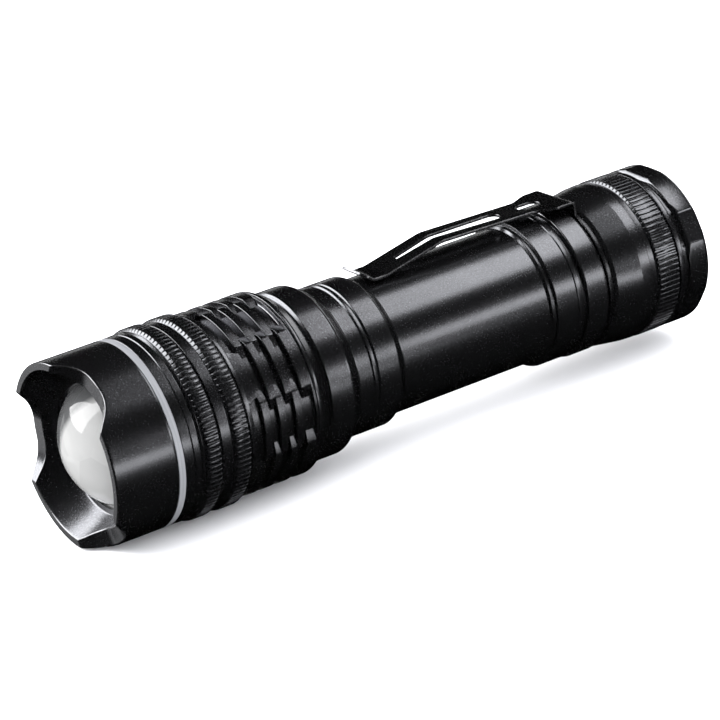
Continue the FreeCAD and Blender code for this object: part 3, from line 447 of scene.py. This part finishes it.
def make_barrel():
    """Battery tube: threaded rear end, clip seat, two collars and a plain grip."""
    outline = [(53.0, 11.3), (BARREL_END, 11.3, 0.2), (BARREL_END, 13.05)]
    for index in range(4):
        crest = BARREL_END - (index + 0.5)
        outline += [(crest + 0.1, THREAD_CREST, 0.05), (crest - 0.1, THREAD_CREST, 0.05)]
        outline += [(crest - 0.5, THREAD_ROOT)]
    outline += [
        (119.9, THREAD_CREST), (119.4, THREAD_CREST, 0.08), (119.4, 12.275), (118.1, 12.275),
        (118.1, THREAD_CREST, 0.08), (117.6, THREAD_CREST), (117.6, 13.75), (116.5, 13.75),
        (116.5, 14.9, 0.06), (115.92, 14.9, 0.05), (115.8, 15.5, 0.2), (111.1, 15.5, 0.25),
        (111.1, 14.52, 0.06), (110.1, 14.52, 0.06), (110.1, BARREL_COLLAR, 0.2),
        (109.0, BARREL_COLLAR, 0.03), (108.85, 14.92, 0.03), (108.7, BARREL_COLLAR, 0.03),
        (103.8, BARREL_COLLAR, 0.15), (103.7, 14.4, 0.05), (102.9, 14.4, 0.1),
        (102.45, BARREL_RADIUS, 0.2), (67.3, BARREL_RADIUS, 1.0), (65.7, TUBE_RADIUS, 0.9),
        (60.95, TUBE_RADIUS, 0.1), (TUBE_END, 14.85, 0.1), (TUBE_END, THREAD_ROOT),
        (59.65, THREAD_ROOT), (59.65, 12.075), (58.7, 12.075), (58.7, THREAD_ROOT),
        (53.0, THREAD_ROOT, 0.3),
    ]
    return lathe("barrel_shell", outline)


# ---------------------------------------------------------------- tail cap

def crown_radius(angle, station, radius):
    """Outside radius with six flats cut from the rear crown and a chamfer in front of each."""
    if station < CROWN_START - 0.2 or radius < CROWN_FLOOR - 0.8:
        return radius
    half, flat_radius, slope = 3.2, 16.05, 1 / 1.8
    chamfer_radius, flat_fall = 15.45, 0.35
    local = abs(from_nearest(angle, CROWN_PHASE, CROWN_FLATS))
    flat = flat_radius / math.cos(local)
    if flat * math.sin(local) > half:
        flat = (flat_radius - slope * half) / (math.cos(local) - slope * math.sin(local))
    chamfer = (chamfer_radius + station - CROWN_START) / math.cos(local)
    limit = min(flat - (CAP_RADIUS - radius) * flat_fall, chamfer)
    blend = 0.06
    share = max(0.0, min(1.0, 0.5 + 0.5 * (limit - radius) / blend))
    return limit * (1 - share) + radius * share - blend * share * (1 - share)


def make_cap():
    """Tail cap: tapered front, knurled band, groove and a crown round the button."""
    band_start, band_end = CAP_BAND
    soup = Soup()
    soup.turned([
        (117.75, 13.6, 0.2), (124.5, 13.6), (124.5, 11.1), (128.0, 11.1), (128.0, 9.8), (136.3, 9.8),
        (136.3, 7.3, 0.1), (138.3, 7.3, 0.3), (138.3, 12.8, 0.5), (CAP_END, 12.8, 0.35),
        (CAP_END, CAP_RADIUS, 1.3), (137.6, CAP_RADIUS), (137.3, CAP_RADIUS), (137.0, CAP_RADIUS),
        (136.7, CAP_RADIUS), (136.45, CAP_RADIUS), (CROWN_START, CAP_RADIUS, 0.12),
        (CROWN_START, CROWN_FLOOR, 0.06), (135.0, CROWN_FLOOR, 0.06), (135.0, CAP_RADIUS, 0.3),
        (133.84, 16.42, 0.05), (band_end, CAP_BED), (band_start, CAP_BED), (126.7, CAP_BED, 0.06),
        (126.6, 16.41, 0.2), (124.3, 16.29, 0.6), (118.55, 15.52, 0.3), (117.75, 15.15, 0.08),
    ], count=720, steps=5, radius_of=crown_radius)
    add_knurl(soup, band_start, band_end, CAP_RADIUS, 15.3, CAP_TEETH, CAP_TOOTH_BEVEL)
    return soup.piece("cap_shell", sharp=50)


# ---------------------------------------------------------------- lens, boot

def make_lens():
    """Domed focusing lens with a flange."""
    front, steps = 0.5, 24
    dome = []
    for k in range(1, steps + 1):
        turn = math.radians(59.0) * k / steps
        dome.append((front + LENS_DOME - LENS_DOME * math.cos(turn), LENS_DOME * math.sin(turn)))
    outline = [(9.5, 0.0), (front, 0.0)] + dome + [(7.5, 12.1), (7.5, 13.6, 0.1), (9.5, 13.6, 0.1)]
    return lathe("lens_glass", outline, count=160)


def make_boot():
    """Rubber tail button with a shallow ring in its face."""
    return lathe("switch_button", [
        (135.15, 0.0), (135.15, 9.3), (136.25, 9.3, 0.3), (136.25, 7.1, 0.05), (139.2, 7.1, 1.5),
        (140.5, 5.2, 1.2), (140.62, 4.2, 0.12), (140.42, 3.9, 0.1), (140.42, 3.6, 0.1), (140.66, 3.3, 0.12),
        (140.8, 1.5, 0.6), (140.8, 0.0),
    ], count=128)


def make_accent():
    """Bright ring between the bezel and the sleeve."""
    return lathe("accent_band", [
        (13.32, 15.9), (14.7, 15.9), (14.7, 18.52, 0.09), (13.32, 18.52, 0.09),
    ], count=240)


# ---------------------------------------------------------------- clip

def lengths_of(points):
    """Distance along a polyline at each of its points."""
    total = [0.0]
    for first, second in zip(points, points[1:]):
        total.append(total[-1] + (second - first).length)
    return total


def rim_loop(bm, outline, thickness, edge):
    """Rounded edge along a closed plan outline; returns its upper and lower border edges."""
    count = len(outline)
    rows = []
    for k in range(8):
        turn = math.pi / 2 * (k % 4) / 3
        inset, rise = edge * (1 - math.sin(turn)), thickness / 2 - edge * (1 - math.cos(turn))
        if k > 3:
            inset, rise = edge * (1 - math.cos(turn)), -(thickness / 2 - edge * (1 - math.sin(turn)))
        row = []
        for i, point in enumerate(outline):
            before = (point - outline[i - 1]).normalized()
            after = (outline[(i + 1) % count] - point).normalized()
            inward = Vector((-before.y - after.y, before.x + after.x)).normalized()
            inward /= max(0.3, inward.dot(Vector((-before.y, before.x))))
            row.append(bm.verts.new((*(point + inward * inset), rise)))
        rows.append(row)
    for upper, lower in zip(rows, rows[1:]):
        for i in range(count):
            j = (i + 1) % count
            bm.faces.new((upper[i], lower[i], lower[j], upper[j]))
    return [[bm.edges.get((row[i], row[i - 1])) for i in range(count)] for row in (rows[0], rows[-1])]


def make_clip():
    """Spring-steel clip bent from a flat blank, with the ring that holds it."""
    thickness, edge, slice_length = CLIP_THICKNESS, 0.13, 0.35
    line = [
        (CLIP_TIP, 16.45), (69.5, 14.53, 2.5), (72.4, 14.53, 2.5), (86.0, 17.38, 8.0),
        (110.0, 16.68, 20.0), (CLIP_TAB, 16.68, 0.7), (CLIP_TAB, 13.95),
    ]
    path = [Vector(point[:2]) for point in rounded(line, 10, closed=False)]
    lengths = lengths_of(path)

    def along(station):
        """Length of the path up to a station."""
        for i in range(len(path) - 1):
            if path[i].x <= station <= path[i + 1].x:
                t = (station - path[i].x) / (path[i + 1].x - path[i].x)
                return lengths[i] + t * (lengths[i + 1] - lengths[i])
        return lengths[-1]

    def plan(half_outline):
        """Closed loop, anticlockwise, from one side of a plan mirrored about the middle."""
        side = [(along(point[0]), point[1]) for point in rounded(half_outline, 8, closed=False)]
        return [Vector((u, -y)) for u, y in side] + [Vector((u, y)) for u, y in reversed(side)]

    def window(front, rear, front_half, rear_half, front_corner, rear_corner):
        """Closed loop, anticlockwise, of an opening with rounded corners."""
        corners = [(front, -front_half, front_corner), (rear, -rear_half, rear_corner)]
        corners += [(rear, rear_half, rear_corner), (front, front_half, front_corner)]
        return [Vector((along(point[0]), point[1])) for point in rounded(corners, 8)]

    outer = plan([
        (CLIP_TIP, 1.0), (CLIP_TIP, CLIP_HALF_WIDTH, 1.6), (108.9, CLIP_HALF_WIDTH, 3.0),
        (112.9, 5.9, 3.0), (117.2, 5.9),
    ])
    slot = window(77.2, 102.6, 0.6, 1.65, 0.58, 1.55)
    hole = window(107.3, 112.5, 1.6, 1.6, 1.5, 1.5)
    bm = bmesh.new()
    upper, lower = [], []
    for outline in (outer, list(reversed(slot)), list(reversed(hole))):
        top, bottom = rim_loop(bm, outline, thickness, edge)
        upper += top
        lower += bottom
    for border in (upper, lower):
        bmesh.ops.triangle_fill(bm, edges=border, use_beauty=True, use_dissolve=False)
    cut = 0.0
    while cut < lengths[-1] - slice_length:
        cut += slice_length
        geometry = list(bm.verts) + list(bm.edges) + list(bm.faces)
        bmesh.ops.bisect_plane(bm, geom=geometry, dist=1e-5, plane_co=(cut, 0, 0), plane_no=(1, 0, 0))
    verts, wear = [], []
    bm.verts.index_update()
    for vert in bm.verts:
        u, y, rise = vert.co
        i = max(k for k in range(len(lengths) - 1) if lengths[k] <= max(u, 0.0))
        t = (u - lengths[i]) / (lengths[i + 1] - lengths[i])
        here = (path[i + 1] - path[i]).normalized()
        first = (path[i + 1] - path[max(0, i - 1)]).normalized()
        last = (path[min(len(path) - 1, i + 2)] - path[i]).normalized()
        heading = first.lerp(last, t).normalized() if 0 < i < len(path) - 2 else here
        point = path[i].lerp(path[i + 1], t) + Vector((-heading.y, heading.x)) * rise
        verts.append((FRONT + point.x * MM, -y * MM, AXIS + point.y * MM))
        wear.append(1.0 if 0.1 < abs(rise) < thickness / 2 - 0.005 else 0.0)
    faces = [tuple(vert.index for vert in face.verts) for face in bm.faces]
    bm.free()
    soup = Soup()
    soup.add(verts, faces, wear)
    soup.turned([(116.6, 13.8), (117.6, 13.8), (117.6, 15.35, 0.15), (116.6, 15.35, 0.15)], count=192)
    return soup.piece("belt_clip", sharp=45)


# ---------------------------------------------------------------- materials

class Nodes:
    """Short way to add and link shader nodes."""

    def __init__(self, name):
        self.material = bpy.data.materials.new(name)
        self.material.use_nodes = True
        self.tree = self.material.node_tree
        self.shader = self.tree.nodes["Principled BSDF"]
        self.coords = self.tree.nodes.new("ShaderNodeTexCoord").outputs["Object"]

    def noise(self, scale, detail=2.0, rough=0.5, stretch=None):
        source = self.coords
        if stretch:
            mapping = self.tree.nodes.new("ShaderNodeMapping")
            mapping.inputs["Scale"].default_value = stretch
            self.tree.links.new(source, mapping.inputs["Vector"])
            source = mapping.outputs["Vector"]
        node = self.tree.nodes.new("ShaderNodeTexNoise")
        node.inputs["Scale"].default_value = scale
        node.inputs["Detail"].default_value = detail
        node.inputs["Roughness"].default_value = rough
        self.tree.links.new(source, node.inputs["Vector"])
        return node.outputs["Fac"]

    def ramp(self, source, low, high, to_low, to_high):
        node = self.tree.nodes.new("ShaderNodeMapRange")
        node.inputs["From Min"].default_value = low
        node.inputs["From Max"].default_value = high
        node.inputs["To Min"].default_value = to_low
        node.inputs["To Max"].default_value = to_high
        self.tree.links.new(source, node.inputs["Value"])
        return node.outputs["Result"]

    def colours(self, source, first, second):
        node = self.tree.nodes.new("ShaderNodeMix")
        node.data_type = "RGBA"
        node.inputs["A"].default_value = (*first, 1)
        node.inputs["B"].default_value = (*second, 1)
        self.tree.links.new(source, node.inputs["Factor"])
        return node.outputs["Result"]

    def math(self, operation, a, b):
        node = self.tree.nodes.new("ShaderNodeMath")
        node.operation = operation
        for socket, value in zip(node.inputs, (a, b)):
            if isinstance(value, (int, float)):
                socket.default_value = value
            else:
                self.tree.links.new(value, socket)
        return node.outputs[0]

    def wear(self):
        node = self.tree.nodes.new("ShaderNodeAttribute")
        node.attribute_name = "wear"
        return node.outputs["Fac"]

    def bump(self, height, strength, distance):
        node = self.tree.nodes.new("ShaderNodeBump")
        node.inputs["Strength"].default_value = strength
        node.inputs["Distance"].default_value = distance
        self.tree.links.new(height, node.inputs["Height"])
        self.tree.links.new(node.outputs["Normal"], self.shader.inputs["Normal"])

    def set(self, **values):
        for key, value in values.items():
            socket = self.shader.inputs[key.replace("_", " ")]
            if isinstance(value, (int, float, tuple)):
                socket.default_value = value
            else:
                self.tree.links.new(value, socket)
        return self.material


def anodised(name, dark, light, worn, rough, grain):
    """Black anodised aluminium: blasted grain, cloudy gloss, paler rubbed edges."""
    n = Nodes(name)
    fine = n.noise(3400, 3.0, 0.65)
    cloud = n.noise(160, 3.0, 0.6)
    base = n.colours(n.ramp(fine, 0.35, 0.68, 0, 1), dark, light)
    mix = n.tree.nodes.new("ShaderNodeMix")
    mix.data_type = "RGBA"
    edge = n.math("MULTIPLY", n.wear(), n.ramp(n.noise(900, 3.0, 0.6), 0.35, 0.6, 0.15, 0.6))
    n.tree.links.new(edge, mix.inputs["Factor"])
    n.tree.links.new(base, mix.inputs["A"])
    mix.inputs["B"].default_value = (*worn, 1)
    broad = n.ramp(cloud, 0.3, 0.7, rough - 0.015, rough + 0.015)
    gloss = n.math("ADD", broad, n.ramp(fine, 0.3, 0.7, -0.03, 0.05))
    n.bump(fine, grain, 0.00006)
    return n.set(Base_Color=mix.outputs["Result"], Metallic=0.985, Roughness=gloss)


def grainy(name, first, second, rough, metallic=0.0, scale=1800, bump=0.15, **more):
    """Moulded, turned or plated surface with a fine grain in colour, gloss and relief."""
    n = Nodes(name)
    fine = n.noise(scale, 4.0, 0.6)
    broad = n.noise(scale / 12, 3.0, 0.5)
    tint = n.math("ADD", n.math("MULTIPLY", fine, 0.6), n.math("MULTIPLY", broad, 0.4))
    n.bump(fine, bump, 0.00005)
    return n.set(
        Base_Color=n.colours(n.ramp(tint, 0.35, 0.65, 0, 1), first, second),
        Roughness=n.ramp(broad, 0.3, 0.7, rough - 0.05, rough + 0.06),
        Metallic=metallic, **more)


def brushed(name, first, second, rough, metallic):
    """Turned metal: fine rings round the axis."""
    n = Nodes(name)
    rings = n.noise(2600, 3.0, 0.6, (1, 0.02, 0.02))
    broad = n.noise(220, 2.0, 0.5)
    n.bump(rings, 0.12, 0.00004)
    return n.set(
        Base_Color=n.colours(n.ramp(rings, 0.35, 0.65, 0, 1), first, second),
        Roughness=n.ramp(broad, 0.3, 0.7, rough - 0.04, rough + 0.05),
        Metallic=metallic)


def lens_material():
    """Clear plastic whose colour carries painted light: a painted bright middle standing for the lit pale
    board seen through it, painted facet glints and a painted dark grey rim.
    """
    # Painted light: a bright disc off the lens axis stands for the lit board seen through the dome.
    painted_glow_centre = (FRONT + 7.8 * MM, -11.65 * MM, AXIS - 3.98 * MM)
    painted_glow_inner, painted_glow_outer = 0.0164, 0.0177
    n = Nodes("lens_clear")
    wave = n.noise(150, 2.0, 0.5)
    reach = n.tree.nodes.new("ShaderNodeVectorMath")
    reach.operation = "DISTANCE"
    reach.inputs[1].default_value = painted_glow_centre
    n.tree.links.new(n.coords, reach.inputs[0])
    # Painted facet glints: Voronoi cells vary the painted brightness of that disc.
    painted_facet_cells = n.tree.nodes.new("ShaderNodeTexVoronoi")
    painted_facet_cells.inputs["Scale"].default_value = 95.0
    n.tree.links.new(n.coords, painted_facet_cells.inputs["Vector"])
    painted_facet_glints = n.ramp(painted_facet_cells.outputs["Color"], 0.2, 0.8, 0.86, 1.0)
    painted_glow = n.ramp(reach.outputs["Value"], painted_glow_inner, painted_glow_outer, 1.0, 0.1)
    bright = n.math("MULTIPLY", painted_glow, painted_facet_glints)
    bright = n.math("MULTIPLY", bright, n.ramp(wave, 0.35, 0.65, 0.94, 1.0))
    return n.set(
        # Base colour is painted light: painted rim shade outside the disc, painted glow of the lit board
        # inside it.
        Base_Color=n.colours(bright, (0.045, 0.046, 0.047), (0.30, 0.30, 0.291)),
        Roughness=n.ramp(wave, 0.3, 0.7, 0.04, 0.08), Transmission_Weight=0.25, IOR=1.42)


BLACK = anodised(
    "black_anodised", (0.086, 0.087, 0.092), (0.134, 0.136, 0.146), (0.22, 0.22, 0.225), 0.23, 0.13)
SILVER = brushed("silver_band", (0.20, 0.204, 0.216), (0.27, 0.274, 0.286), 0.5, 0.45)
CLEAR = lens_material()
RUBBER = grainy("button_rubber", (0.010, 0.010, 0.011), (0.026, 0.026, 0.028), 0.62, scale=2600, bump=0.4)
SEAL = grainy("seal_rubber", (0.008, 0.008, 0.009), (0.018, 0.018, 0.019), 0.5, scale=1500)
SPRING_STEEL = anodised(
    "clip_black", (0.040, 0.041, 0.044), (0.080, 0.081, 0.085), (0.26, 0.26, 0.27), 0.25, 0.14)
PLATED = grainy("plated_spring", (0.62, 0.60, 0.56), (0.80, 0.78, 0.74), 0.25, 1.0)
BARE = brushed("turned_aluminium", (0.60, 0.60, 0.61), (0.76, 0.76, 0.77), 0.32, 1.0)
NYLON = grainy("white_nylon", (0.62, 0.61, 0.58), (0.74, 0.73, 0.70), 0.42)
WHITE_BOARD = grainy("white_board", (0.78, 0.78, 0.76), (0.88, 0.88, 0.86), 0.38)
GREEN_BOARD = grainy("green_board", (0.012, 0.075, 0.028), (0.03, 0.13, 0.05), 0.35, scale=900)
PHOSPHOR = grainy("led_phosphor", (0.80, 0.62, 0.10), (0.92, 0.76, 0.20), 0.25)
RED_WIRE = grainy("red_wire", (0.42, 0.02, 0.015), (0.6, 0.04, 0.03), 0.4)
BLACK_PLASTIC = grainy("black_plastic", (0.012, 0.012, 0.013), (0.03, 0.03, 0.032), 0.42)
CELL = grainy("cell_jacket", (0.03, 0.10, 0.17), (0.06, 0.16, 0.25), 0.35, scale=700)


def finish_piece(piece, material, body, slot, *nodes):
    """Give a piece its material, hide the CAD nodes it stands for and attach it to what it rides on."""
    piece.data.materials.append(material)
    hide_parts(*nodes)
    if body:
        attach(piece, body)


finish_piece(make_bezel(), BLACK, "head", "black_anodised", "bezel")
finish_piece(make_sleeve(), BLACK, "head", "black_anodised", "head_sleeve")
finish_piece(make_accent(), SILVER, "head", "silver_ring", "accent_ring")
finish_piece(make_lens(), CLEAR, "head", "clear_lens", "lens")
finish_piece(make_neck(), BLACK, "body", "black_anodised", "focus_tube")
finish_piece(make_barrel(), BLACK, "body", "black_anodised", "barrel")
finish_piece(make_cap(), BLACK, "tail", "black_anodised", "tail_cap")
finish_piece(make_boot(), RUBBER, "button", "boot_rubber", "switch_boot")

clip = make_clip()
finish_piece(clip, SPRING_STEEL, None, "black_steel", "clip_ring", "clip_leaf")
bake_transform(clip)

NODE_LOOKS = {
    "lens_gasket": SEAL, "lens_retainer": BARE, "glide_ring": NYLON, "stop_ring": PLATED,
    "focus_oring": SEAL, "led_pillar": BARE, "led_board": WHITE_BOARD, "led_emitter": PHOSPHOR,
    "led_centring_ring": WHITE_BOARD, "led_leads": RED_WIRE, "driver_board": GREEN_BOARD,
    "driver_spring": PLATED, "barrel_oring": SEAL, "carrier_frame": BLACK_PLASTIC,
    "carrier_contacts": PLATED, "cell_springs": PLATED, "battery_cells": CELL, "tail_oring": SEAL,
    "tail_spring": PLATED, "switch_board": GREEN_BOARD, "switch_body": BLACK_PLASTIC,
    "switch_plunger": NYLON, "switch_retainer": BARE,
}
for node, material in NODE_LOOKS.items():
    shape = bpy.data.objects[node]
    shape.data.materials.clear()
    shape.data.materials.append(material)


# ---------------------------------------------------------------- floor, light, camera

def make_floor():
    """Pale paper sheet, which the black metal doesn't mirror."""
    half = 3.0
    verts = [(-half, -half, 0), (half, -half, 0), (half, half, 0), (-half, half, 0)]
    mesh = bpy.data.meshes.new("floor")
    mesh.from_pydata(verts, [], [(0, 1, 2, 3)])
    floor = bpy.data.objects.new("floor", mesh)
    bpy.context.scene.collection.objects.link(floor)
    n = Nodes("floor_paper")
    paper = n.noise(60, 3.0, 0.5)
    n.set(Base_Color=n.colours(paper, (0.86, 0.86, 0.86), (0.90, 0.90, 0.90)), Roughness=0.9)
    n.shader.inputs["Specular IOR Level"].default_value = 0.0
    mesh.materials.append(n.material)
    floor.visible_glossy = False
    floor.visible_shadow = False


def around(x, angle, distance):
    """Point at x, at an angle up from -Y in the cross plane."""
    turn = math.radians(angle)
    return (x, -distance * math.cos(turn), AXIS + distance * math.sin(turn))


def area_light(name, position, target, width, height, radiance):
    """Rectangular panel that faces a target."""
    data = bpy.data.lights.new(name, "AREA")
    data.shape = "RECTANGLE"
    data.size = width
    data.size_y = height
    data.energy = radiance * math.pi * width * height
    light = bpy.data.objects.new(name, data)
    bpy.context.scene.collection.objects.link(light)
    light.location = position
    aim = Vector(target) - Vector(position)
    light.rotation_euler = aim.to_track_quat("-Z", "Y").to_euler()
    light.visible_camera = False


def make_lights():
    """One panel above, two in front, three behind, one beside, and a pale surround."""
    reach = 0.7
    centre = (0.0, 0.0, AXIS)
    area_light("overhead", around(0.49, 76, reach), (0.49, 0, AXIS), 0.23, 0.52, 5.1)
    area_light("front_strip", around(0.65, 7.5, reach), (0.65, 0, AXIS), 0.58, 0.17, 4.3)
    area_light("front_low", around(0.24, -8.5, reach), (0.24, 0, AXIS), 0.20, 0.12, 4.6)
    area_light("back_left", (-0.50, 0.55, 0.50), centre, 0.9, 0.7, 8.0)
    area_light("back_right", (0.45, 0.75, 0.045), centre, 0.9, 0.07, 1.3)
    area_light("back_low", (-0.40, 0.68, -0.15), centre, 0.5, 0.35, 0.8)
    area_light("side_right", (1.0, 0.35, 0.2), centre, 0.5, 0.4, 2.5)
    world = bpy.data.worlds.new("studio")
    bpy.context.scene.world = world
    world.use_nodes = True
    background = world.node_tree.nodes["Background"]
    background.inputs["Color"].default_value = (0.95, 0.96, 1.0, 1)
    background.inputs["Strength"].default_value = 3.0
    world.cycles_visibility.glossy = False


def make_camera():
    """Long lens in front of the head, on the -Y side, looking down a little and rolled."""
    sensor_width, focal_length = 36.0, 171.5
    distance, lift = 0.666, -0.00194
    data = bpy.data.cameras.new("camera")
    camera = bpy.data.objects.new("camera", data)
    bpy.context.scene.collection.objects.link(camera)
    data.sensor_width = sensor_width
    data.lens = focal_length
    data.clip_start = 0.01
    data.clip_end = 20.0
    right = Vector((0.8176, -0.5622, -0.1241))
    up = Vector((0.3008, 0.2334, 0.9247))
    back = right.cross(up).normalized()
    up = back.cross(right).normalized()
    right.normalize()
    aim_point = Vector((-0.00415, 0.0, AXIS))
    spot = aim_point + lift * up + distance * back
    camera.matrix_world = Matrix((
        (right.x, up.x, back.x, spot.x),
        (right.y, up.y, back.y, spot.y),
        (right.z, up.z, back.z, spot.z),
        (0, 0, 0, 1),
    ))
    bpy.context.scene.camera = camera


make_floor()
make_lights()
make_camera()
bpy.context.scene.view_settings.view_transform = "Standard"
